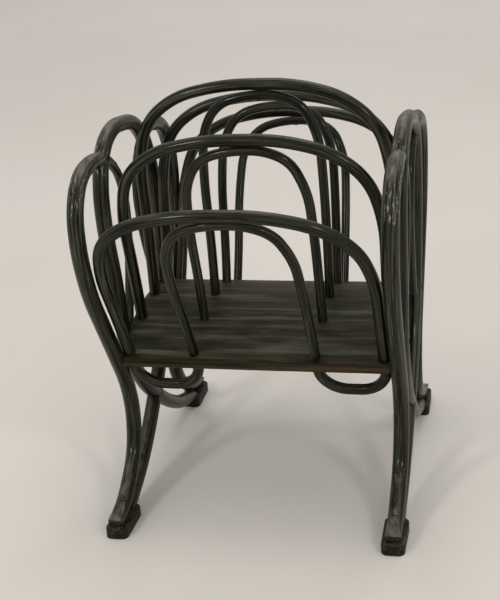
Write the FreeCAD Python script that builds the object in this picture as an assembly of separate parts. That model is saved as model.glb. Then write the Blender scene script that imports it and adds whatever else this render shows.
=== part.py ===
"""Bentwood magazine rack: a curved board, five arched dividers and two looped end frames.

Millimetres. X runs along the board, from end frame to end frame. Y runs from front to back across
the dividers. +Z is up. The origin is on the floor, midway between the four feet.
"""
import FreeCAD, Part
import math
import os
from FreeCAD import Vector

# ---- rods -----------------------------------------------------------------------------------
FRAME_R = 10.8          # rods of the end frames
LEG_TIP_R = 6.2         # a leg rod after its taper, where it comes down to the board
OUTER_R = 8.0           # outer arch of a divider
INNER_R = 6.5           # inner arch of a divider
BOW_R = 7.5             # bows under the board
FIT_GAP = 0.12          # clearance in glued joints, laps and holes

# ---- board ----------------------------------------------------------------------------------
BOARD_TOP_Z = 268.5     # top of the board at its crown
BOARD_CURVE_R = 305.0   # radius of the crown, from front to back
BOARD_THICK = 10.5
BOARD_HALF_X = 185.6
BOARD_HALF_Y = 147.0
BOARD_CORNER_R = 9.0

# ---- dividers, from the front one to the rear one ---------------------------------------------
DIVIDER_LEAN = (-27.6, -10.8, 0.0, 10.8, 27.6)      # degrees from upright, positive to the rear
DIVIDER_Y = (-135.4, -68.4, 0.0, 68.4, 135.4)       # where each one meets the top of the board
ARCH_HEIGHT = (264.9, 270.5, 303.0, 273.0, 265.4)   # centreline of the outer arch above the board
OUTER_FOOT_X = 173.8
INNER_FOOT_X = 83.0
BOW_DEPTH = (70.0, 58.5, 55.0, 58.5, 70.0)          # lower bows, below the top of the board
TENON = 5.5             # how far the arch feet go into the board

# ---- end frames -------------------------------------------------------------------------------
FRAME_FOOT_X = 188.4    # middle of an end frame at floor level
FRAME_SPLAY = 0.016     # how much it leans outwards for each millimetre of height

# ---- shoes ------------------------------------------------------------------------------------
SHOE_LENGTH = 71.0
SHOE_WIDTH = 33.0
SHOE_HEIGHT = 15.0
SHOE_FRONT_Y = 234.0    # outermost end of a shoe, from the middle of the rack
SHOE_NOSE_R = 9.0
TOE_END_Y = 227.0       # the leg rods end here, a little short of the shoe's nose

# ---- screws -----------------------------------------------------------------------------------
SHANK_R = 1.75
HEAD_R = 4.0
HEAD_HEIGHT = 1.6
BOARD_SCREW_AT = (98.9, 246.4)      # through a cross rod into the board's end, as (y towards that end, z)

# Where rods cross within an end frame, as (y towards that end, z)
LOOP_LAP = {-1: (98.4, 497.8), 1: (82.0, 482.2)}    # a leg rod over the middle loop, near the top
CROSSING_Z = 108.0                                  # the two cross rods, under the board

LEFT = -1
SIDES = {"left": LEFT, "right": 1}
ENDS = {"front": -1, "rear": 1}


def board_z(y):
    """Height of the board's top surface at depth y."""
    return BOARD_TOP_Z - BOARD_CURVE_R + math.sqrt(BOARD_CURVE_R ** 2 - y ** 2)


def frame_x(side, z):
    """Middle of an end frame at height z."""
    return side * (FRAME_FOOT_X + FRAME_SPLAY * z)


# ---- rods bent from straight stock --------------------------------------------------------------

def bend_path(corners):
    """Edges of a smooth path: each corner is rounded by the largest arc its two runs allow."""
    last = len(corners) - 1
    runs = [(corners[i + 1] - corners[i]).Length for i in range(last)]
    edges = []
    here = corners[0]
    for i in range(1, last):
        before = (corners[i - 1] - corners[i]).normalize()
        after = (corners[i + 1] - corners[i]).normalize()
        room_before = runs[i - 1] * (0.9 if i == 1 else 0.5)
        room_after = runs[i] * (0.9 if i == last - 1 else 0.5)
        reach = min(room_before, room_after) * 0.99
        start = corners[i] + before * reach
        end = corners[i] + after * reach
        turn = math.pi - before.getAngle(after)
        radius = reach / math.tan(turn / 2)
        inward = (before + after).normalize()
        middle = corners[i] + inward * (math.hypot(radius, reach) - radius)
        edges.append(Part.LineSegment(here, start).toShape())
        edges.append(Part.Arc(start, middle, end).toShape())
        here = end
    edges.append(Part.LineSegment(here, corners[last]).toShape())
    return edges


def section(edge, at_end, radius):
    """Round section square to an edge, at its start or its end."""
    place = edge.LastParameter if at_end else edge.FirstParameter
    circle = Part.Circle(edge.valueAt(place), edge.tangentAt(place), radius)
    return Part.Wire(circle.toShape())


def rod(corners, radius):
    """Round rod of one thickness along a bent path."""
    edges = bend_path(corners)
    return Part.Wire(edges).makePipeShell([section(edges[0], False, radius)], True, False)


def tapered_rod(corners, radius, tip_radius, first_corner, last_corner):
    """Round rod that thins from one radius to the other between two of its corners."""
    edges = bend_path(corners)
    start = 2 * first_corner - 1
    end = 2 * last_corner
    thick = Part.Wire(edges[:start]).makePipeShell([section(edges[0], False, radius)], True, False)
    thin = Part.Wire(edges[end:]).makePipeShell([section(edges[end], False, tip_radius)], True, False)
    total = sum(edge.Length for edge in edges[start:end])
    rings = [section(edges[start], False, radius)]
    done = 0.0
    for edge in edges[start:end]:
        steps = max(1, round(edge.Length / 12))
        span = edge.LastParameter - edge.FirstParameter
        for step in range(1, steps + 1):
            share = (done + edge.Length * step / steps) / total
            place = edge.FirstParameter + span * step / steps
            ring = Part.Circle(edge.valueAt(place), edge.tangentAt(place), radius + (tip_radius - radius) * share)
            rings.append(Part.Wire(ring.toShape()))
        done += edge.Length
    neck = Part.makeLoft(rings, True, False)
    return thick.fuse([neck, thin]).removeSplitter()


def fat_rod(corners, radius):
    """The space a rod takes, with the fit gap added: used to cut its notch in another piece."""
    return rod(corners, radius + FIT_GAP)


# ---- lines of the rods ---------------------------------------------------------------------------

def divider_point(number, x, height):
    """Point of a divider's plane, x along the rack and height up the divider from the board."""
    lean = math.radians(DIVIDER_LEAN[number])
    y = DIVIDER_Y[number]
    return Vector(x, y + height * math.sin(lean), board_z(y) + height * math.cos(lean))


def arch_corners(number, left, right):
    """An arch's corners from its left foot over the top to its right foot."""
    outline = [(-x, height) for x, height in left] + list(reversed(right))
    return [divider_point(number, x, height) for x, height in outline]


def outer_arch_corners(number):
    """Wide flat-topped arch. Its right shoulder droops a little, as the bent rod settled."""
    top = ARCH_HEIGHT[number]
    foot = OUTER_FOOT_X
    left = [(foot, -TENON), (foot, top - 202), (foot + 2.5, top - 110), (163, top - 50), (119, top - 15), (50, top)]
    right = [(foot, -TENON), (foot, top - 206), (foot + 1, top - 118), (158, top - 56), (113, top - 18), (46, top)]
    return arch_corners(number, left, right)


def inner_arch_corners(number):
    """Narrow round-topped arch. Its top lies against the underside of the outer arch."""
    top = ARCH_HEIGHT[number] - OUTER_R - INNER_R - FIT_GAP
    foot = INNER_FOOT_X
    left = [(foot, -TENON), (foot, top - 200), (foot + 3, top - 118), (82, top - 50), (61, top - 12), (19, top)]
    right = [(foot, -TENON), (foot, top - 205), (foot - 1, top - 128), (79, top - 62), (60, top - 16), (26, top)]
    return arch_corners(number, left, right)


def bow_corners(number, side):
    """U-shaped bow under the board, from below an outer arch's foot to below an inner one's."""
    depth = BOW_DEPTH[number]
    outline = [(OUTER_FOOT_X, -TENON - FIT_GAP), (OUTER_FOOT_X, 26 - depth), (153, -depth),
               (105, -depth), (INNER_FOOT_X, 26 - depth), (INNER_FOOT_X, -TENON - FIT_GAP)]
    return [divider_point(number, side * x, height) for x, height in outline]


def frame_points(side, end, outline):
    """Points of an end frame. The outline gives (y, z), with y measured towards that end."""
    return [Vector(frame_x(side, z), end * y, z) for y, z in outline]


def leg_corners(side, end):
    """Leg rod: up from the shoe, out, over the outer loop and down inside it to the board."""
    low = [(TOE_END_Y, 23), (203, 24), (172, 36), (118, 72), (102, 130), (112, 180)]
    front_loop = [(168, 280), (206, 346), (222, 410), (218, 462), (188, 498), (130, 507),
                  (72, 490), (34, 456), (24, 408), (36, 340), (66, 266), (74, 246)]
    rear_loop = [(168, 280), (201, 342), (212, 400), (205, 445), (177, 478), (126, 491),
                 (74, 480), (38, 450), (25, 404), (36, 340), (66, 266), (74, 246)]
    loop = front_loop if end < 0 else rear_loop
    return frame_points(side, end, low + loop)


def cross_corners(side, end):
    """Rod of the middle loop: from its foot at one end, across under the board to the other arm."""
    low = [(-178, 12), (-150, 22), (-105, 38), (-52, 68), (-10, 100), (40, 140), (84, 200), (104, 262)]
    front_arm = [(106, 330), (119, 398), (118, 458), (94, 508), (44, 527), (0, 521)]
    rear_arm = [(104, 330), (111, 385), (108, 430), (87, 481), (44, 514), (0, 521)]
    arm = front_arm if end < 0 else rear_arm
    return frame_points(side, end, low + arm)


# ---- boxes and holes used to trim the pieces ------------------------------------------------------

def block(low, high):
    """Box between two opposite corners."""
    size = Vector(*high) - Vector(*low)
    return Part.makeBox(size.x, size.y, size.z, Vector(*low))


def half_space(side, inner, y, z, reach=45.0):
    """Block on the inner or outer side of an end frame's middle, around one place of the frame."""
    middle = frame_x(side, z)
    far = middle - side * reach if inner else middle + side * reach
    return block((min(middle, far), y - reach, z - reach), (max(middle, far), y + reach, z + reach))


def mirrored(shape):
    """The same piece for the right-hand end of the rack."""
    return shape.mirror(Vector(0, 0, 0), Vector(1, 0, 0))


def hole(number, x, radius, low, high):
    """Round hole in the board, drilled along the divider that stands in it."""
    bottom = divider_point(number, x, low)
    along = divider_point(number, x, high) - bottom
    return Part.makeCylinder(radius, high - low, bottom, along)


# ---- screws ----------------------------------------------------------------------------------------

def screw(point, direction, length):
    """Round-headed screw: the underside of its head is at the point."""
    along = Vector(*direction).normalize()
    head = Part.makeCylinder(HEAD_R, HEAD_HEIGHT * 0.5, point - along * HEAD_HEIGHT * 0.5, along)
    crown = Part.makeCone(HEAD_R * 0.55, HEAD_R, HEAD_HEIGHT * 0.5, point - along * HEAD_HEIGHT, along)
    shank = Part.makeCylinder(SHANK_R, length, point, along)
    return head.fuse([crown, shank]).removeSplitter()


def screw_hole(point, direction, length):
    """The space of a screw with its fit gap, the head's seat included."""
    along = Vector(*direction).normalize()
    seat = Part.makeCylinder(HEAD_R + FIT_GAP, 30.0, point - along * 30.0, along)
    bore = Part.makeCylinder(SHANK_R + FIT_GAP, length + FIT_GAP, point, along)
    return seat.fuse(bore)


def screw_places():
    """Every screw as (node, point, direction, length)."""
    places = []
    for side in SIDES.values():
        inward = (-side, 0, 0)
        outward = (side, 0, 0)
        for end in ENDS.values():
            y, z = BOARD_SCREW_AT
            places.append(("board_screws", Vector(frame_x(side, z) + side * 8.5, end * y, z), inward, 34.0))
            for y in (SHOE_FRONT_Y - 22, SHOE_FRONT_Y - 56):
                places.append(("shoe_screws", Vector(side * FRAME_FOOT_X, end * y, HEAD_HEIGHT + 0.3), (0, 0, 1), 24.0))
            y, z = LOOP_LAP[end]
            places.append(("loop_screws", Vector(frame_x(side, z) - side * 7.0, end * y, z), outward, 12.0))
        point = Vector(frame_x(side, CROSSING_Z) - side * 8.5, 0, CROSSING_Z)
        places.append(("crossing_screws", point, outward, 14.0))
    for number in range(len(DIVIDER_Y)):
        underside = ARCH_HEIGHT[number] - OUTER_R - 2 * INNER_R + 1.0
        point = divider_point(number, 0, underside)
        direction = divider_point(number, 0, underside + 1) - point
        places.append(("arch_screws", point, (direction.x, direction.y, direction.z), 18.0))
    return places


# ---- pieces -----------------------------------------------------------------------------------------

def make_board(rods, holes):
    """Board crowned from front to back, notched at its ends for the rods, drilled for the dividers."""
    centre_z = BOARD_TOP_Z - BOARD_CURVE_R

    def on_arc(radius, y):
        return Vector(-BOARD_HALF_X, y, centre_z + math.sqrt(radius ** 2 - y ** 2))

    y = BOARD_HALF_Y
    inner_r = BOARD_CURVE_R - BOARD_THICK
    top = Part.Arc(on_arc(BOARD_CURVE_R, -y), on_arc(BOARD_CURVE_R, 0), on_arc(BOARD_CURVE_R, y))
    bottom = Part.Arc(on_arc(inner_r, y), on_arc(inner_r, 0), on_arc(inner_r, -y))
    rear = Part.LineSegment(on_arc(BOARD_CURVE_R, y), on_arc(inner_r, y))
    front = Part.LineSegment(on_arc(inner_r, -y), on_arc(BOARD_CURVE_R, -y))
    outline = Part.Wire([curve.toShape() for curve in (top, rear, bottom, front)])
    board = Part.Face(outline).extrude(Vector(2 * BOARD_HALF_X, 0, 0))
    corners = [edge for edge in board.Edges if abs(edge.tangentAt(edge.FirstParameter).z) > 0.999]
    board = board.makeFillet(BOARD_CORNER_R, corners)
    for number in range(len(DIVIDER_Y)):
        for side in SIDES.values():
            for x, radius in ((OUTER_FOOT_X, OUTER_R), (INNER_FOOT_X, INNER_R)):
                upper = hole(number, side * x, radius + FIT_GAP, -TENON - FIT_GAP / 2, 30.0)
                lower = hole(number, side * x, BOW_R + FIT_GAP, -30.0, -TENON)
                holes = holes + [upper, lower]
    return board.cut(rods + holes)


def make_outer_arch(number, screw_holes):
    """Outer arch of a divider, its feet let into the board."""
    return rod(outer_arch_corners(number), OUTER_R).cut(screw_holes)


def make_inner_arch(number, screw_holes):
    """Inner arch of a divider, screwed up into the outer one."""
    return rod(inner_arch_corners(number), INNER_R).cut(screw_holes)


def make_bow(number, side):
    """Bow under the board that joins the outer and inner legs of a divider on one side."""
    return rod(bow_corners(number, side), BOW_R)


def toe_cut(side, end):
    """What is sawn off a leg rod at its foot: the slope over the toe, and all below the shoe's top."""
    x = frame_x(side, 0)
    slope = [(TOE_END_Y - 31, 37), (TOE_END_Y + 3, 24), (TOE_END_Y + 3, 60), (TOE_END_Y - 31, 60)]
    corners = [Vector(x - 20, end * y, z) for y, z in slope]
    wedge = Part.Face(Part.makePolygon(corners + corners[:1])).extrude(Vector(40, 0, 0))
    return wedge.fuse(block((x - 25, -300, -20), (x + 25, 300, SHOE_HEIGHT)))


def make_leg_rod(side, end, screw_holes):
    """Leg rod with its loop, sawn flat on the shoe and halved where it crosses the middle loop."""
    bent = tapered_rod(leg_corners(side, end), FRAME_R, LEG_TIP_R, 11, 12)
    y, z = LOOP_LAP[end]
    crossing = fat_rod(cross_corners(side, end), FRAME_R)
    lap = crossing.common(half_space(side, False, end * y, z))
    return bent.cut([toe_cut(side, end), lap] + screw_holes)


def make_cross_rod(side, end, screw_holes):
    """Half of the middle loop. It ends in the middle of the top, against the other half."""
    bent = rod(cross_corners(side, end), FRAME_R)
    y, z = LOOP_LAP[end]
    leg = tapered_rod(leg_corners(side, end), FRAME_R + FIT_GAP, LEG_TIP_R + FIT_GAP, 11, 12)
    loop_lap = leg.common(half_space(side, True, end * y, z))
    other = fat_rod(cross_corners(side, -end), FRAME_R)
    crossing_lap = other.common(half_space(side, end < 0, 0, CROSSING_Z))
    other_leg = fat_rod(leg_corners(side, -end)[:7], FRAME_R)
    past_middle = block((-300, -200, 400), (300, 200, 600))
    past_middle.translate(Vector(0, -end * (200 - FIT_GAP / 2), 0))
    below_shoe_top = block((-300, -300, -20), (300, 300, SHOE_HEIGHT))
    return bent.cut([loop_lap, crossing_lap, other_leg, past_middle, below_shoe_top] + screw_holes)


def make_shoe(side, end, screw_holes):
    """Flat wooden shoe under a foot, a little narrower at its nose, with rounded corners."""
    x = frame_x(side, 0)
    heel_y = SHOE_FRONT_Y - SHOE_LENGTH
    half = SHOE_WIDTH / 2
    plan = [(x - half, heel_y), (x - half + 1, SHOE_FRONT_Y), (x + half - 1, SHOE_FRONT_Y), (x + half, heel_y)]
    corners = [Vector(px, end * py, 0) for px, py in plan]
    shoe = Part.Face(Part.makePolygon(corners + corners[:1])).extrude(Vector(0, 0, SHOE_HEIGHT))
    upright = [edge for edge in shoe.Edges if abs(edge.Length - SHOE_HEIGHT) < 0.01]
    shoe = shoe.makeFillet(SHOE_NOSE_R, upright)
    rim = [edge for edge in shoe.Edges if edge.BoundBox.ZMin > SHOE_HEIGHT - 0.01]
    return shoe.makeFillet(1.8, rim).cut(screw_holes)


def build():
    """All the pieces, as a dictionary of node name to shape."""
    places = screw_places()
    screws = {}
    holes = {}
    for node, point, direction, length in places:
        screws.setdefault(node, []).append(screw(point, direction, length))
        holes.setdefault(node, []).append(screw_hole(point, direction, length))
    frame_holes = [bore for node in holes if node != "arch_screws" for bore in holes[node]]
    pieces = {}
    notches = []
    for end_name, end in ENDS.items():
        made = {"leg_rod": make_leg_rod(LEFT, end, frame_holes),
                "cross_rod": make_cross_rod(LEFT, end, frame_holes),
                "shoe": make_shoe(LEFT, end, holes["shoe_screws"])}
        for kind, shape in made.items():
            pieces["%s_%s_left" % (end_name, kind)] = shape
            pieces["%s_%s_right" % (end_name, kind)] = mirrored(shape)
        leg = tapered_rod(leg_corners(LEFT, end), FRAME_R + FIT_GAP, LEG_TIP_R + FIT_GAP, 11, 12)
        cross = fat_rod(cross_corners(LEFT, end), FRAME_R)
        notches += [leg, cross, mirrored(leg), mirrored(cross)]
    pieces["board"] = make_board(notches, holes["board_screws"])
    for number in range(len(DIVIDER_Y)):
        pieces["outer_arch_%d" % (number + 1)] = make_outer_arch(number, holes["arch_screws"])
        pieces["inner_arch_%d" % (number + 1)] = make_inner_arch(number, holes["arch_screws"])
        for side_name, side in SIDES.items():
            pieces["lower_bow_%s_%d" % (side_name, number + 1)] = make_bow(number, side)
    for node, solids in screws.items():
        pieces[node] = Part.makeCompound(solids)
    return pieces


def main():
    os.makedirs("parts", exist_ok=True)
    for node, shape in build().items():
        solids = shape.Solids
        print("%-24s solids %d valid %s volume %.0f" % (node, len(solids), shape.isValid(), shape.Volume))
        whole = solids[0] if len(solids) == 1 else Part.makeCompound(solids)
        whole.exportStep("parts/%s.step" % node)


if __name__ == "__main__":
    main()
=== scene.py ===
import bpy
import bmesh
import math
import numpy as np
from mathutils import Matrix, Vector
from mathutils.kdtree import KDTree


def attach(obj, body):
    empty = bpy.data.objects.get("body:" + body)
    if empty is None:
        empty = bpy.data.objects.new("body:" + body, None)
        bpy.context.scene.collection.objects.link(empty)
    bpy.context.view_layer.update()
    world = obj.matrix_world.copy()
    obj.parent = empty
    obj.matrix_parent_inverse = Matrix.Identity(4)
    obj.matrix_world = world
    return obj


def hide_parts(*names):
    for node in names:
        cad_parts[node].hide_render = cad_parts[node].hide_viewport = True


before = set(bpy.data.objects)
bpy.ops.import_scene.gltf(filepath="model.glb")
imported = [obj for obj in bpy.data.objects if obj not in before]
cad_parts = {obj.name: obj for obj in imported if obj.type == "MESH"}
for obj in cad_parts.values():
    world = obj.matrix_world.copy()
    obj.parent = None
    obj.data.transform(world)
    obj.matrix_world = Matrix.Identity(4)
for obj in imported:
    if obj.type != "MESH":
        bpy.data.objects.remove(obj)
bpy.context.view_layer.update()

MM = 0.001              # metres

# ---- dimensions of the rods and the board, in millimetres ----------------------------------------
TENON = 5.5             # how far the feet of the arches and bows go into the board
FIT_GAP = 0.12
OUTER_R = 8.0
INNER_R = 6.5
BOARD_TOP_Z = 268.5     # top of the board at its crown
BOARD_CURVE_R = 305.0   # radius of the crown, from front to back
BOARD_THICK = 10.5
BOARD_HALF_X = 185.6
BOARD_HALF_Y = 147.0
BOARD_CORNER_R = 9.0
DIVIDER_LEAN = (-27.6, -10.8, 0.0, 10.8, 27.6)      # degrees from upright, positive to the rear
DIVIDER_Y = (-135.4, -68.4, 0.0, 68.4, 135.4)       # where each one meets the top of the board
ARCH_HEIGHT = (264.9, 270.5, 303.0, 273.0, 265.4)   # middle of the wide arch above the board
OUTER_FOOT_X = 173.8
INNER_FOOT_X = 83.0
BOW_DEPTH = (70.0, 58.5, 55.0, 58.5, 70.0)          # lower bows, below the top of the board
FRAME_FOOT_X = 188.4    # middle of an end frame at floor level
FRAME_SPLAY = 0.016     # how much it leans outwards for each millimetre of height

# ---- how finely the pieces are made, in millimetres ----------------------------------------------
ROD_STEP = 0.7          # between the points of a rod's middle line
BOARD_EDGE_R = 1.8      # radius that the board's edges are eased to
BOARD_ROWS = 46         # steps in depth between the edges' closer ones
BOARD_ROWS_GAP = 17.0   # from the front and rear edges to those steps
BOARD_COLUMNS = 48      # steps across the width
BOARD_UNEVEN = 0.25     # height of the top's slow waves
STOCK_SHIFT = 1.7       # metres along the stock between one rod's grain and the next one's
SHIFT_ACROSS = 0.37     # shares of that shift in the stock's two other directions
SHIFT_UP = 0.23

# ---- the camera and the light --------------------------------------------------------------------
CAMERA_AT = (0.3526, -1.5880, 0.9131)               # metres
CAMERA_YAW = 13.65      # degrees to the left
CAMERA_PITCH = 21.776   # degrees downwards
CAMERA_ROLL = -4.208    # degrees
CAMERA_LENS = 73.76     # millimetres, as is its sensor's width
CAMERA_SENSOR = 36.0
FLOOR_HALF = 14.0       # metres
WARM_WHITE = (1.0, 0.985, 0.96)
ROOM_AT_SIDES = 0.42    # brightness of the room around the rack
ROOM_OVERHEAD = 0.76

SIDES = {"left": -1, "right": 1}
ENDS = {"front": -1, "rear": 1}


# ---- the rods' lines -----------------------------------------------------------------------------

def board_z(y):
    """Height of the board's top at depth y."""
    return BOARD_TOP_Z - BOARD_CURVE_R + math.sqrt(BOARD_CURVE_R ** 2 - y ** 2)


def divider_point(number, x, height):
    """Point of a divider's middle plane, which leans: height is measured up the lean from the board."""
    lean = math.radians(DIVIDER_LEAN[number])
    y = DIVIDER_Y[number]
    return Vector((x, y + height * math.sin(lean), board_z(y) + height * math.cos(lean)))


def arch_line(number, left, right):
    """Arch from its left foot to its right one. Both halves are given from the foot up."""
    outline = [(-x, height) for x, height in left] + list(reversed(right))
    return [divider_point(number, x, height) for x, height in outline]


def outer_arch_line(number):
    """The wide arch of a divider."""
    top = ARCH_HEIGHT[number]
    foot = OUTER_FOOT_X
    left = [(foot, -TENON), (foot, top - 202), (foot + 2.5, top - 110),
            (163, top - 50), (119, top - 15), (50, top)]
    right = [(foot, -TENON), (foot, top - 206), (foot + 1, top - 118),
             (158, top - 56), (113, top - 18), (46, top)]
    return arch_line(number, left, right)


def inner_arch_line(number):
    """The narrow arch, whose top lies against the wide one's from below."""
    top = ARCH_HEIGHT[number] - OUTER_R - INNER_R - FIT_GAP
    foot = INNER_FOOT_X
    left = [(foot, -TENON), (foot, top - 200), (foot + 3, top - 118),
            (82, top - 50), (61, top - 12), (19, top)]
    right = [(foot, -TENON), (foot, top - 205), (foot - 1, top - 128),
             (79, top - 62), (60, top - 16), (26, top)]
    return arch_line(number, left, right)


def bow_line(number, side):
    """U-shaped bow under the board, from the wide arch's foot to the narrow one's."""
    depth = BOW_DEPTH[number]
    outline = [(OUTER_FOOT_X, -TENON), (OUTER_FOOT_X, 26 - depth), (153, -depth),
               (105, -depth), (INNER_FOOT_X, 26 - depth), (INNER_FOOT_X, -TENON)]
    return [divider_point(number, side * x, height) for x, height in outline]


def frame_line(side, end, outline):
    """Points of an end frame's rod from its outline as (y, z). The frame leans a little outwards."""
    return [Vector((side * (FRAME_FOOT_X + FRAME_SPLAY * z), end * y, z)) for y, z in outline]


def leg_line(side, end):
    """Leg rod: up from the shoe, out, over the outer loop and down inside it to the board."""
    low = [(227, 23), (203, 24), (172, 36), (118, 72), (102, 130), (112, 180)]
    front_loop = [(168, 280), (206, 346), (222, 410), (218, 462), (188, 498), (130, 507),
                  (72, 490), (34, 456), (24, 408), (36, 340), (66, 266), (74, 246)]
    rear_loop = [(168, 280), (201, 342), (212, 400), (205, 445), (177, 478), (126, 491),
                 (74, 480), (38, 450), (25, 404), (36, 340), (66, 266), (74, 246)]
    return frame_line(side, end, low + (front_loop if end < 0 else rear_loop))


def cross_line(side, end):
    """Half of the middle loop: from its foot at the other end, under the board, up to the top."""
    low = [(-178, 12), (-150, 22), (-105, 38), (-52, 68), (-10, 100), (40, 140), (84, 200), (104, 262)]
    front_arm = [(106, 330), (119, 398), (118, 458), (94, 508), (44, 527), (0, 521)]
    rear_arm = [(104, 330), (111, 385), (108, 430), (87, 481), (44, 514), (0, 521)]
    return frame_line(side, end, low + (front_arm if end < 0 else rear_arm))


def bent_line(corners, step):
    """Points along a rod's middle: each corner is rounded by almost the largest arc its runs allow."""
    last = len(corners) - 1
    runs = [(corners[i + 1] - corners[i]).length for i in range(last)]
    points = [np.array(corners[0])]

    def straight_to(target):
        start = points[-1]
        count = max(1, int(np.linalg.norm(target - start) / step))
        points.extend(start + (target - start) * k / count for k in range(1, count + 1))

    for i in range(1, last):
        before = np.array((corners[i - 1] - corners[i]).normalized())
        after = np.array((corners[i + 1] - corners[i]).normalized())
        room_before = runs[i - 1] * (0.9 if i == 1 else 0.5)
        room_after = runs[i] * (0.9 if i == last - 1 else 0.5)
        reach = min(room_before, room_after) * 0.99
        turn = math.pi - math.acos(float(np.clip(before @ after, -1, 1)))
        radius = reach / math.tan(turn / 2)
        corner = np.array(corners[i])
        inward = (before + after) / np.linalg.norm(before + after)
        centre = corner + inward * math.hypot(radius, reach)
        start = corner + before * reach
        straight_to(start)
        outward = (start - centre) / radius
        count = max(2, int(radius * turn / step))
        for k in range(1, count + 1):
            angle = turn * k / count
            points.append(centre + radius * (outward * math.cos(angle) - before * math.sin(angle)))
    straight_to(np.array(corners[last]))
    return np.array(points)


# ---- pieces from the CAD shapes ------------------------------------------------------------------

ROUND_LIMIT = math.cos(math.radians(22))    # a round side's faces point this nearly straight out
WEAR_SPOTS = [                              # where the stain is brown, in metres: (centre, radius, strength)
    (Vector((-0.19, 0.13, 0.33)), 0.17, 0.55),
    (Vector((-0.19, 0.17, 0.05)), 0.10, 0.60),
    (Vector((-0.16, -0.14, 0.19)), 0.06, 0.45),
    (Vector((0.16, -0.14, 0.19)), 0.05, 0.35),
    (Vector((0.19, 0.17, 0.04)), 0.09, 0.35),
    (Vector((-0.19, 0.0, 0.10)), 0.08, 0.35),
    (Vector((0.19, 0.0, 0.10)), 0.08, 0.35),
]
RUBBED_AND_GLINT_SPOTS = [                            # where it is paler, in metres: rubbed wear, and painted glints of highlight on the loops' fronts
    (Vector((-0.197, -0.20, 0.49)), 0.08, 1.0),
    (Vector((0.197, -0.21, 0.47)), 0.09, 1.0),
    (Vector((-0.197, -0.11, 0.51)), 0.07, 1.0),
    (Vector((0.197, -0.11, 0.51)), 0.07, 1.0),
    (Vector((-0.19, -0.14, 0.05)), 0.06, 0.6),
    (Vector((0.19, -0.13, 0.06)), 0.06, 0.7),
    (Vector((0.196, -0.16, 0.29)), 0.05, 0.5),
]


def strength_at(point, spots):
    """Strongest effect of a list of round spots at a place, from 0 to 1."""
    strongest = 0.0
    for centre, radius, strength in spots:
        near = max(0.0, 1.0 - (point - centre).length / radius)
        strongest = max(strongest, strength * near * near * (3 - 2 * near))
    return strongest


def add_attributes(mesh, stock, worn_and_sheen, pale_wear_and_sheen):
    """Stores each point's place in the straight stock, how brown it is from wear and from a painted
    reflection, and how pale from rubbing and from painted glints and sheen.
    """
    grain = mesh.attributes.new("grain", "FLOAT_VECTOR", "POINT")
    grain.data.foreach_set("vector", np.asarray(stock, np.float32).ravel())
    for name, values in (("worn_and_sheen", worn_and_sheen), ("pale_wear_and_sheen", pale_wear_and_sheen)):
        attribute = mesh.attributes.new(name, "FLOAT", "POINT")
        attribute.data.foreach_set("value", values)


def plane_normal(corners):
    """Unit vector square to the plane that a rod was bent in."""
    middle = sum(corners, Vector()) / len(corners)
    total = Vector()
    for a, b in zip(corners, corners[1:] + corners[:1]):
        total += (a - middle).cross(b - middle)
    return np.array(total.normalized())


def dressed_rod(node, corners, material, shift):
    """Copy of a CAD rod with smooth round sides and its grain along the bend."""
    line = bent_line(corners, ROD_STEP) * MM
    binormal = plane_normal(corners)
    tangents = np.gradient(line, axis=0)
    tangents /= np.linalg.norm(tangents, axis=1)[:, None]
    lengths = np.concatenate([[0], np.cumsum(np.linalg.norm(np.diff(line, axis=0), axis=1))])
    tree = kdtree_of(line)
    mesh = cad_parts[node].data.copy()
    piece = bpy.data.objects.new(node.replace("_", "-"), mesh)
    bpy.context.scene.collection.objects.link(piece)
    count = len(mesh.vertices)
    points = np.empty(count * 3)
    mesh.vertices.foreach_get("co", points)
    points = points.reshape(-1, 3)
    nearest = np.array([tree.find(p)[1] for p in points])
    along = np.einsum("ij,ij->i", points - line[nearest], tangents[nearest])
    offset = points - line[nearest] - along[:, None] * tangents[nearest]
    sideways = np.cross(binormal, tangents[nearest])
    stock = np.stack([np.einsum("ij,ij->i", offset, sideways) + shift * SHIFT_ACROSS,
                      offset @ binormal + shift * SHIFT_UP,
                      lengths[nearest] + along + shift], axis=1)
    worn_and_sheen = [strength_at(v.co, WEAR_SPOTS) for v in mesh.vertices]
    # paler at rubbed places, and painted glints of highlight on the loops' fronts
    pale_wear_and_sheen = [strength_at(v.co, RUBBED_AND_GLINT_SPOTS) for v in mesh.vertices]
    add_attributes(mesh, stock, worn_and_sheen, pale_wear_and_sheen)
    radial = offset / np.maximum(np.linalg.norm(offset, axis=1), 1e-9)[:, None]
    smooth_round_sides(mesh, radial)
    finish_piece(piece, material, node)
    return piece


def kdtree_of(points):
    """Search tree for the nearest of some points."""
    tree = KDTree(len(points))
    for i, p in enumerate(points):
        tree.insert(p, i)
    tree.balance()
    return tree


def smooth_round_sides(mesh, radial):
    """Gives the corners of a rod's round faces the rod's own normals, and leaves cut faces flat."""
    for face in mesh.polygons:
        face.use_smooth = True
    normals = np.empty((len(mesh.loops), 3))
    for face in mesh.polygons:
        normal = np.array(face.normal)
        vertices = list(face.vertices)
        is_round = all(radial[v] @ normal > ROUND_LIMIT for v in vertices)
        for loop, v in zip(face.loop_indices, vertices):
            normals[loop] = radial[v] if is_round else normal
    mesh.normals_split_custom_set(normals.tolist())


def finish_piece(piece, material, node):
    """Gives a piece its one material and lets it stand for a CAD node."""
    piece.data.materials.clear()
    piece.data.materials.append(material)
    for face in piece.data.polygons:
        face.material_index = 0
    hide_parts(node)
    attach(piece, "root")


# ---- the board -----------------------------------------------------------------------------------

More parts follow.
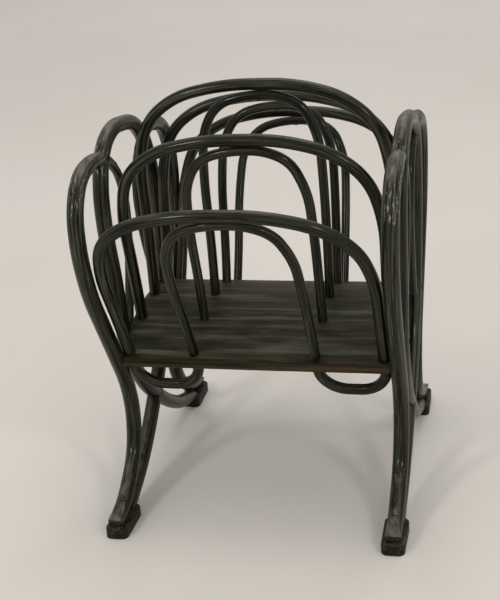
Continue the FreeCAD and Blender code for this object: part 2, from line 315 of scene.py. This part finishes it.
def board_mesh():
    """Board with eased edges: cross-sections at steps from the front edge to the rear one."""
    edge = BOARD_EDGE_R
    # rows of points, closer near the front and rear edges: their distances from the edge
    near_edge = [0.0, 0.25, 0.6, 1.1, 1.8, 3.2, 4.8, 6.6, 9.0, 13.0]
    first_row = BOARD_ROWS_GAP - BOARD_HALF_Y
    middle = [first_row - 2 * first_row * k / BOARD_ROWS for k in range(BOARD_ROWS + 1)]
    front = [gap - BOARD_HALF_Y for gap in near_edge]
    rows = front + middle + [-y for y in reversed(front)]
    mesh = bmesh.new()
    stock = []
    rings = []
    for y in rows:
        gap = BOARD_HALF_Y - abs(y)
        corner = max(0.0, BOARD_CORNER_R - gap)
        half_x = BOARD_HALF_X - (BOARD_CORNER_R - math.sqrt(BOARD_CORNER_R ** 2 - corner ** 2))
        rounded = max(0.0, edge - gap)
        inset = edge - math.sqrt(edge ** 2 - rounded ** 2)
        top = board_z(y)
        inner_r = BOARD_CURVE_R - BOARD_THICK
        thick = top - (BOARD_TOP_Z - BOARD_CURVE_R + math.sqrt(inner_r ** 2 - y ** 2))
        along = BOARD_CURVE_R * math.asin(y / BOARD_CURVE_R)
        ring = []
        for x, depth in board_section(half_x, edge, inset, thick - inset):
            wave = BOARD_UNEVEN * math.sin(x * 0.021 + 1.0) * math.sin(y * 0.05 + x * 0.008)
            ring.append(mesh.verts.new(Vector((x, y, top - depth + wave)) * MM))
            stock.append((along * MM, depth * MM, x * MM))
        rings.append(ring)
    for one, two in zip(rings, rings[1:]):
        for k in range(len(one)):
            after = (k + 1) % len(one)
            mesh.faces.new((one[k], two[k], two[after], one[after]))
    mesh.faces.new(rings[0])
    mesh.faces.new(list(reversed(rings[-1])))
    bmesh.ops.recalc_face_normals(mesh, faces=mesh.faces)
    data = bpy.data.meshes.new("board")
    mesh.to_mesh(data)
    mesh.free()
    for face in data.polygons:
        face.use_smooth = True
    # brown from wear at the edges, and in a band that is partly a painted reflection
    worn_and_sheen = [board_wear_and_sheen(along / MM, depth / MM, x / MM) for along, depth, x in stock]
    # painted pale streaks of reflected light along the board's top
    sheen_streaks = [board_sheen_streaks(along / MM, x / MM) for along, depth, x in stock]
    add_attributes(data, stock, worn_and_sheen, sheen_streaks)
    return data


def board_section(half_x, edge, high, low):
    """Section of the board across its width, as (x, depth), with quarter-round edges."""
    flat = half_x - edge
    turn = [math.pi / 2 * k / 4 for k in range(1, 5)]
    across = [-flat + 2 * flat * k / BOARD_COLUMNS for k in range(BOARD_COLUMNS + 1)]
    outline = [(x, high) for x in across]
    outline += [(flat + edge * math.sin(a), high + edge * (1 - math.cos(a))) for a in turn]
    outline += [(flat + edge * math.cos(a), low - edge * (1 - math.sin(a))) for a in turn]
    outline += [(x, low) for x in reversed(across[:-1])]
    outline += [(-flat - edge * math.sin(a), low - edge * (1 - math.cos(a))) for a in turn]
    outline += [(-flat - edge * math.cos(a), high + edge * (1 - math.sin(a))) for a in turn[:-1]]
    return outline


WORN_EDGE = 5.0             # how far the brown goes in from the board's front and rear edges
BROWN_SHEEN_BAND_AT = 34.0        # behind the board's middle: brown, partly for wear and partly a painted reflection where the top slopes away
BROWN_SHEEN_BAND_HALF = 30.0
BOARD_SHEEN_STREAKS = [            # painted pale streaks of reflected light on the board's top: (x, along, half length, half width)
    (0, -14, 80, 9),
    (95, -14, 40, 8),
    (80, -122, 110, 13),
    (-60, -105, 60, 8),
    (10, -66, 60, 7),
]


def board_wear_and_sheen(along, depth, x):
    """The board is brown at its front and rear edges, most to the right, and in a band between, which is
    partly wear and partly a painted reflection where the top slopes away.
    """
    gap = BOARD_CURVE_R * math.asin(BOARD_HALF_Y / BOARD_CURVE_R) - abs(along)
    downwards = 0.22 + 0.28 * depth / BOARD_THICK
    to_the_right = 1.0 + 0.5 * x / BOARD_HALF_X
    edge = max(0.0, 1.0 - gap / WORN_EDGE) * downwards * to_the_right
    # the band is brown wear together with a painted reflection of the room where the top slopes away
    brown_sheen_band = 0.48 * math.exp(-((along - BROWN_SHEEN_BAND_AT) / BROWN_SHEEN_BAND_HALF) ** 2)
    return max(edge, brown_sheen_band)


def board_sheen_streaks(along, x):
    """Painted pale streaks of reflected light, long across the board's top: how strong they are at a place.
    """
    total = 0.0
    for middle_x, middle_along, half_length, half_width in BOARD_SHEEN_STREAKS:
        away = ((x - middle_x) / half_length) ** 2 + ((along - middle_along) / half_width) ** 2
        total += math.exp(-away)
    return total


# ---- materials -----------------------------------------------------------------------------------

class Nodes:
    """Short way to write a node tree: each call adds a node or two and returns one output."""

    def __init__(self, name):
        self.material = bpy.data.materials.new(name)
        self.material.use_nodes = True
        self.tree = self.material.node_tree
        self.tree.nodes.clear()

    def add(self, kind, inputs=None, output=0, **settings):
        node = self.tree.nodes.new(kind)
        for key, value in settings.items():
            setattr(node, key, value)
        for key, value in (inputs or {}).items():
            if isinstance(value, bpy.types.NodeSocket):
                self.tree.links.new(value, node.inputs[key])
            else:
                node.inputs[key].default_value = value
        return node.outputs[output] if len(node.outputs) else None

    def noise(self, place, scale, detail=3.0, roughness=0.55):
        """Noise with its own scale along each axis, in cycles per metre."""
        stretched = self.add("ShaderNodeVectorMath", {0: place, 1: scale}, operation="MULTIPLY")
        return self.add("ShaderNodeTexNoise", {"Vector": stretched, "Scale": 1.0, "Detail": detail,
                                               "Roughness": roughness})

    def ramp(self, value, low, high, out_low=0.0, out_high=1.0):
        """Smooth step of a value between two limits."""
        return self.add("ShaderNodeMapRange", {0: value, 1: low, 2: high, 3: out_low, 4: out_high},
                        interpolation_type="SMOOTHSTEP", clamp=True)

    def math(self, operation, one, two):
        """Sum, product or other result of two values."""
        return self.add("ShaderNodeMath", {0: one, 1: two}, operation=operation)

    def blend(self, share, one, two):
        """Colour between one and two."""
        node = self.tree.nodes.new("ShaderNodeMix")
        node.data_type = "RGBA"
        for index, value in ((0, share), (6, one), (7, two)):
            if isinstance(value, bpy.types.NodeSocket):
                self.tree.links.new(value, node.inputs[index])
            else:
                node.inputs[index].default_value = value
        return node.outputs[2]


def colour(red, green, blue):
    """sRGB values from 0 to 255 as a linear colour."""
    def linear(value):
        share = value / 255
        return share / 12.92 if share <= 0.04045 else ((share + 0.055) / 1.055) ** 2.4
    return (linear(red), linear(green), linear(blue), 1.0)


def stained_wood(name, along=2, stored=True, fibre=1.0, length=1.0, soft=0.0, dust_and_sheen_amount=1.0, rubbed_and_glint_amount=1.0,
                 brown=0.0, gloss=0.34, shine=0.13, coat=0.26):
    """Wood stained black under thin lacquer.

    The grain runs along one axis of the stored coordinates, or of the object's own if not stored.
    fibre and length widen and lengthen the streaks, and soft lowers their contrast. The next three say how
    much dust with a painted sheen of the overhead light lies on what faces up, how much the rubbed places
    with their painted glints add to the pale scratches, and how much brown there is. gloss is the roughness,
    shine the reflection, coat the lacquer.
    """
    n = Nodes(name)
    if stored:
        place = n.add("ShaderNodeAttribute", output=1, attribute_name="grain")
    else:
        place = n.add("ShaderNodeTexCoord", output=3)
    worn_and_sheen_here = n.add("ShaderNodeAttribute", output=2, attribute_name="worn_and_sheen")
    pale_wear_and_sheen_here = n.add("ShaderNodeAttribute", output=2, attribute_name="pale_wear_and_sheen")

    def lying(across, lengthways):
        scale = [across, across, across]
        scale[along] = lengthways / length
        return scale

    streak = n.noise(place, lying(420 / fibre, 9), detail=5.0, roughness=0.62)
    fine = n.noise(place, lying(1500 / fibre, 30), detail=2.0)
    tone = n.noise(place, lying(110 / fibre, 7), detail=3.0)
    patch = n.noise(place, lying(90, 22), detail=4.0, roughness=0.65)
    scratch = n.noise(place, lying(430, 100), detail=3.0, roughness=0.65)
    wobble = n.noise(place, lying(45, 28), detail=1.0)

    # black stain, thinner in streaks along the grain and paler in broad patches, paler still at the rubbed
    # places, the painted glints and the painted sheen
    fibres = n.math("ADD", n.math("MULTIPLY", streak, 0.7), n.math("MULTIPLY", fine, 0.3))
    streaky = n.ramp(fibres, 0.46 - soft, 0.56 + soft)
    base = n.blend(streaky, colour(4, 5, 0), colour(46, 48, 29))
    pale = n.math("ADD", tone, n.math("MULTIPLY", pale_wear_and_sheen_here, 0.12))
    pale_streaks = n.ramp(streaky, 0.0, 1.0, 4 * soft, 1.0)
    tone_share = n.math("MULTIPLY", n.ramp(pale, 0.50, 0.70, 0.0, 0.70), pale_streaks)
    base = n.blend(tone_share, base, colour(84, 86, 74))

    # brown where it is worn, and in the board's band of painted reflection where its top slopes away
    worn_and_sheen = n.math("ADD", n.math("MULTIPLY", worn_and_sheen_here, 0.75), n.math("MULTIPLY", patch, 0.62))
    worn_and_sheen = n.math("ADD", worn_and_sheen, n.math("MULTIPLY", streak, 0.18))
    brown_share = n.ramp(n.math("ADD", worn_and_sheen, brown), 0.52, 0.86, 0.0, 0.8)
    brown_wood = n.blend(streaky, colour(32, 23, 12), colour(84, 66, 48))
    base = n.blend(brown_share, base, brown_wood)

    # dust together with a painted sheen of the overhead light on what faces up; pale scratches, and painted
    # glints of highlight on the loops' fronts
    normal = n.add("ShaderNodeNewGeometry", output=1)
    up = n.add("ShaderNodeSeparateXYZ", {0: normal}, output=2)
    dust_and_sheen_noise = n.noise(place, lying(70, 30), detail=5.0, roughness=0.7)
    # painted sheen of the light overhead, mixed with real dust, on upward faces
    dust_and_sheen = n.math("MULTIPLY", n.ramp(up, 0.62, 1.0), n.ramp(dust_and_sheen_noise, 0.40, 0.62, 0.12, 1.0))
    dust_and_sheen = n.math("MULTIPLY", dust_and_sheen, 0.42 * dust_and_sheen_amount)
    base = n.blend(dust_and_sheen, base, colour(138, 124, 112))
    # pale scratches, with painted glints of highlight added at the rubbed places on the loops' fronts
    scratch_and_glint_level = n.math("ADD", scratch, n.math("MULTIPLY", pale_wear_and_sheen_here, 0.2 * rubbed_and_glint_amount))
    scratches_and_glints = n.ramp(scratch_and_glint_level, 0.73, 0.84, 0.0, 0.6)
    base = n.blend(scratches_and_glints, base, colour(170, 166, 156))

    rough = n.ramp(streaky, 0.0, 1.0, gloss, gloss + 0.12)
    rough = n.math("ADD", rough, n.math("MULTIPLY", dust_and_sheen, 0.5))
    rough = n.math("ADD", rough, n.math("MULTIPLY", brown_share, 0.12))

    height = n.math("ADD", n.math("MULTIPLY", streak, 0.30), n.math("MULTIPLY", fine, 0.06))
    height = n.math("ADD", height, n.math("MULTIPLY", wobble, 0.9))
    height = n.math("SUBTRACT", height, n.math("MULTIPLY", scratches_and_glints, 0.15))
    bump = n.add("ShaderNodeBump", {"Height": height, "Strength": 0.55, "Distance": 0.0011})
    shader = n.add("ShaderNodeBsdfPrincipled", {"Base Color": base, "Roughness": rough, "Normal": bump,
                                                "Coat Weight": coat, "Coat Roughness": 0.12,
                                                "Specular IOR Level": shine})
    n.add("ShaderNodeOutputMaterial", {"Surface": shader})
    return n.material


def dark_steel(name):
    """Old screw steel, browned and a little rusty."""
    n = Nodes(name)
    place = n.add("ShaderNodeTexCoord", output=3)
    rust = n.noise(place, (900, 900, 900), detail=4.0, roughness=0.65)
    share = n.ramp(rust, 0.42, 0.62)
    base = n.blend(share, colour(62, 58, 52), colour(78, 46, 28))
    rough = n.ramp(rust, 0.35, 0.65, 0.35, 0.75)
    metal = n.ramp(rust, 0.45, 0.65, 1.0, 0.25)
    bump = n.add("ShaderNodeBump", {"Height": rust, "Strength": 0.4, "Distance": 0.0003})
    shader = n.add("ShaderNodeBsdfPrincipled", {"Base Color": base, "Roughness": rough, "Metallic": metal,
                                                "Normal": bump})
    n.add("ShaderNodeOutputMaterial", {"Surface": shader})
    return n.material


def floor_paper(name):
    """Pale seamless paper with slight unevenness."""
    n = Nodes(name)
    place = n.add("ShaderNodeTexCoord", output=3)
    cloud = n.noise(place, (1.1, 1.1, 1.1), detail=3.0)
    base = n.blend(n.ramp(cloud, 0.3, 0.7, 0.0, 0.5), colour(226, 221, 214), colour(219, 213, 205))
    grit = n.noise(place, (160, 160, 160), detail=3.0)
    bump = n.add("ShaderNodeBump", {"Height": grit, "Strength": 0.15, "Distance": 0.0008})
    shader = n.add("ShaderNodeBsdfPrincipled", {"Base Color": base, "Roughness": 0.85, "Normal": bump})
    n.add("ShaderNodeOutputMaterial", {"Surface": shader})
    return n.material


frame_wood = stained_wood("frame-wood", dust_and_sheen_amount=1.4)
arch_wood = stained_wood("arch-wood", dust_and_sheen_amount=0.6)
board_wood = stained_wood("board-wood", fibre=2.0, length=1.8, soft=0.15, dust_and_sheen_amount=0.25, rubbed_and_glint_amount=0.0,
                          gloss=0.44, shine=0.08, coat=0.0)
shoe_wood = stained_wood("shoe-wood", along=1, stored=False, dust_and_sheen_amount=0.5, brown=0.06,
                         gloss=0.5, shine=0.12, coat=0.05)
screw_steel = dark_steel("screw-steel")


# ---- putting it together -------------------------------------------------------------------------

def add_rods():
    """Every rod, each with its own stretch of the stock's grain."""
    rods = []
    for side_name, side in SIDES.items():
        for end_name, end in ENDS.items():
            rods.append(("%s_leg_rod_%s" % (end_name, side_name), leg_line(side, end), frame_wood))
            rods.append(("%s_cross_rod_%s" % (end_name, side_name), cross_line(side, end), frame_wood))
    for number in range(len(DIVIDER_Y)):
        rods.append(("outer_arch_%d" % (number + 1), outer_arch_line(number), arch_wood))
        rods.append(("inner_arch_%d" % (number + 1), inner_arch_line(number), arch_wood))
        for side_name, side in SIDES.items():
            rods.append(("lower_bow_%s_%d" % (side_name, number + 1), bow_line(number, side), arch_wood))
    for order, (node, line, material) in enumerate(rods, 1):
        dressed_rod(node, line, material, order * STOCK_SHIFT)


def add_board():
    piece = bpy.data.objects.new("board-plank", board_mesh())
    bpy.context.scene.collection.objects.link(piece)
    finish_piece(piece, board_wood, "board")


def paint_nodes():
    """Shoes and screws keep their CAD shape."""
    for name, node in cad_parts.items():
        if "screws" in name or "shoe" in name:
            material = screw_steel if "screws" in name else shoe_wood
            for slot in node.material_slots:
                slot.material = material
            if not node.material_slots:
                node.data.materials.append(material)


def add_floor():
    mesh = bpy.data.meshes.new("floor")
    far = FLOOR_HALF
    mesh.from_pydata([(-far, -far, 0), (far, -far, 0), (far, far, 0), (-far, far, 0)], [], [(0, 1, 2, 3)])
    floor = bpy.data.objects.new("floor", mesh)
    floor.data.materials.append(floor_paper("floor-paper"))
    bpy.context.scene.collection.objects.link(floor)


def add_area_light(name, place, target, size, power):
    """Round soft light, in metres and watts."""
    light = bpy.data.lights.new(name, "AREA")
    light.shape = "DISK"
    light.size = size
    light.energy = power
    light.color = WARM_WHITE
    lamp = bpy.data.objects.new(name, light)
    lamp.location = place
    lamp.rotation_euler = (Vector(target) - Vector(place)).to_track_quat("-Z", "Y").to_euler()
    bpy.context.scene.collection.objects.link(lamp)


def add_world():
    """Pale room, brighter overhead than at the sides."""
    world = bpy.data.worlds.new("studio")
    world.use_nodes = True
    tree = world.node_tree
    direction = tree.nodes.new("ShaderNodeTexCoord")
    split = tree.nodes.new("ShaderNodeSeparateXYZ")
    strength = tree.nodes.new("ShaderNodeMapRange")
    strength.inputs["To Min"].default_value = ROOM_AT_SIDES
    strength.inputs["To Max"].default_value = ROOM_OVERHEAD
    tree.links.new(direction.outputs["Generated"], split.inputs["Vector"])
    tree.links.new(split.outputs["Z"], strength.inputs["Value"])
    background = tree.nodes["Background"]
    background.inputs["Color"].default_value = WARM_WHITE + (1.0,)
    tree.links.new(strength.outputs["Result"], background.inputs["Strength"])
    bpy.context.scene.world = world


def add_lights():
    add_world()
    add_area_light("overhead", (0.1, 0.9, 3.0), (0, 0.2, 0.2), 1.6, 17)
    add_area_light("backdrop", (0.0, 5.2, 3.0), (0, 5.2, 0.0), 3.0, 16)
    add_area_light("front-left", (-1.2, -2.0, 1.8), (0, 0, 0.3), 0.4, 13)
    add_area_light("front-right", (1.5, -1.6, 1.7), (0, 0, 0.3), 0.4, 8)


def add_camera():
    """Camera at the photograph's viewing angle: right of the middle, looking down and turned left."""
    yaw = math.radians(CAMERA_YAW)
    pitch = math.radians(CAMERA_PITCH)
    roll = math.radians(CAMERA_ROLL)
    level = Vector((-math.sin(yaw), math.cos(yaw), 0))
    forward = level * math.cos(pitch) - Vector((0, 0, math.sin(pitch)))
    right = Vector((math.cos(yaw), math.sin(yaw), 0))
    up = right.cross(forward)
    turned_right = right * math.cos(roll) + up * math.sin(roll)
    turned_up = up * math.cos(roll) - right * math.sin(roll)
    camera = bpy.data.objects.new("camera", bpy.data.cameras.new("camera"))
    camera.data.sensor_width = CAMERA_SENSOR
    camera.data.lens = CAMERA_LENS
    rotation = Matrix((turned_right, turned_up, -forward)).transposed().to_4x4()
    camera.matrix_world = Matrix.Translation(CAMERA_AT) @ rotation
    camera.data.clip_end = 60.0
    bpy.context.scene.collection.objects.link(camera)
    bpy.context.scene.camera = camera


add_rods()
add_board()
paint_nodes()
add_floor()
add_lights()
add_camera()
bpy.context.scene.view_settings.view_transform = "Standard"
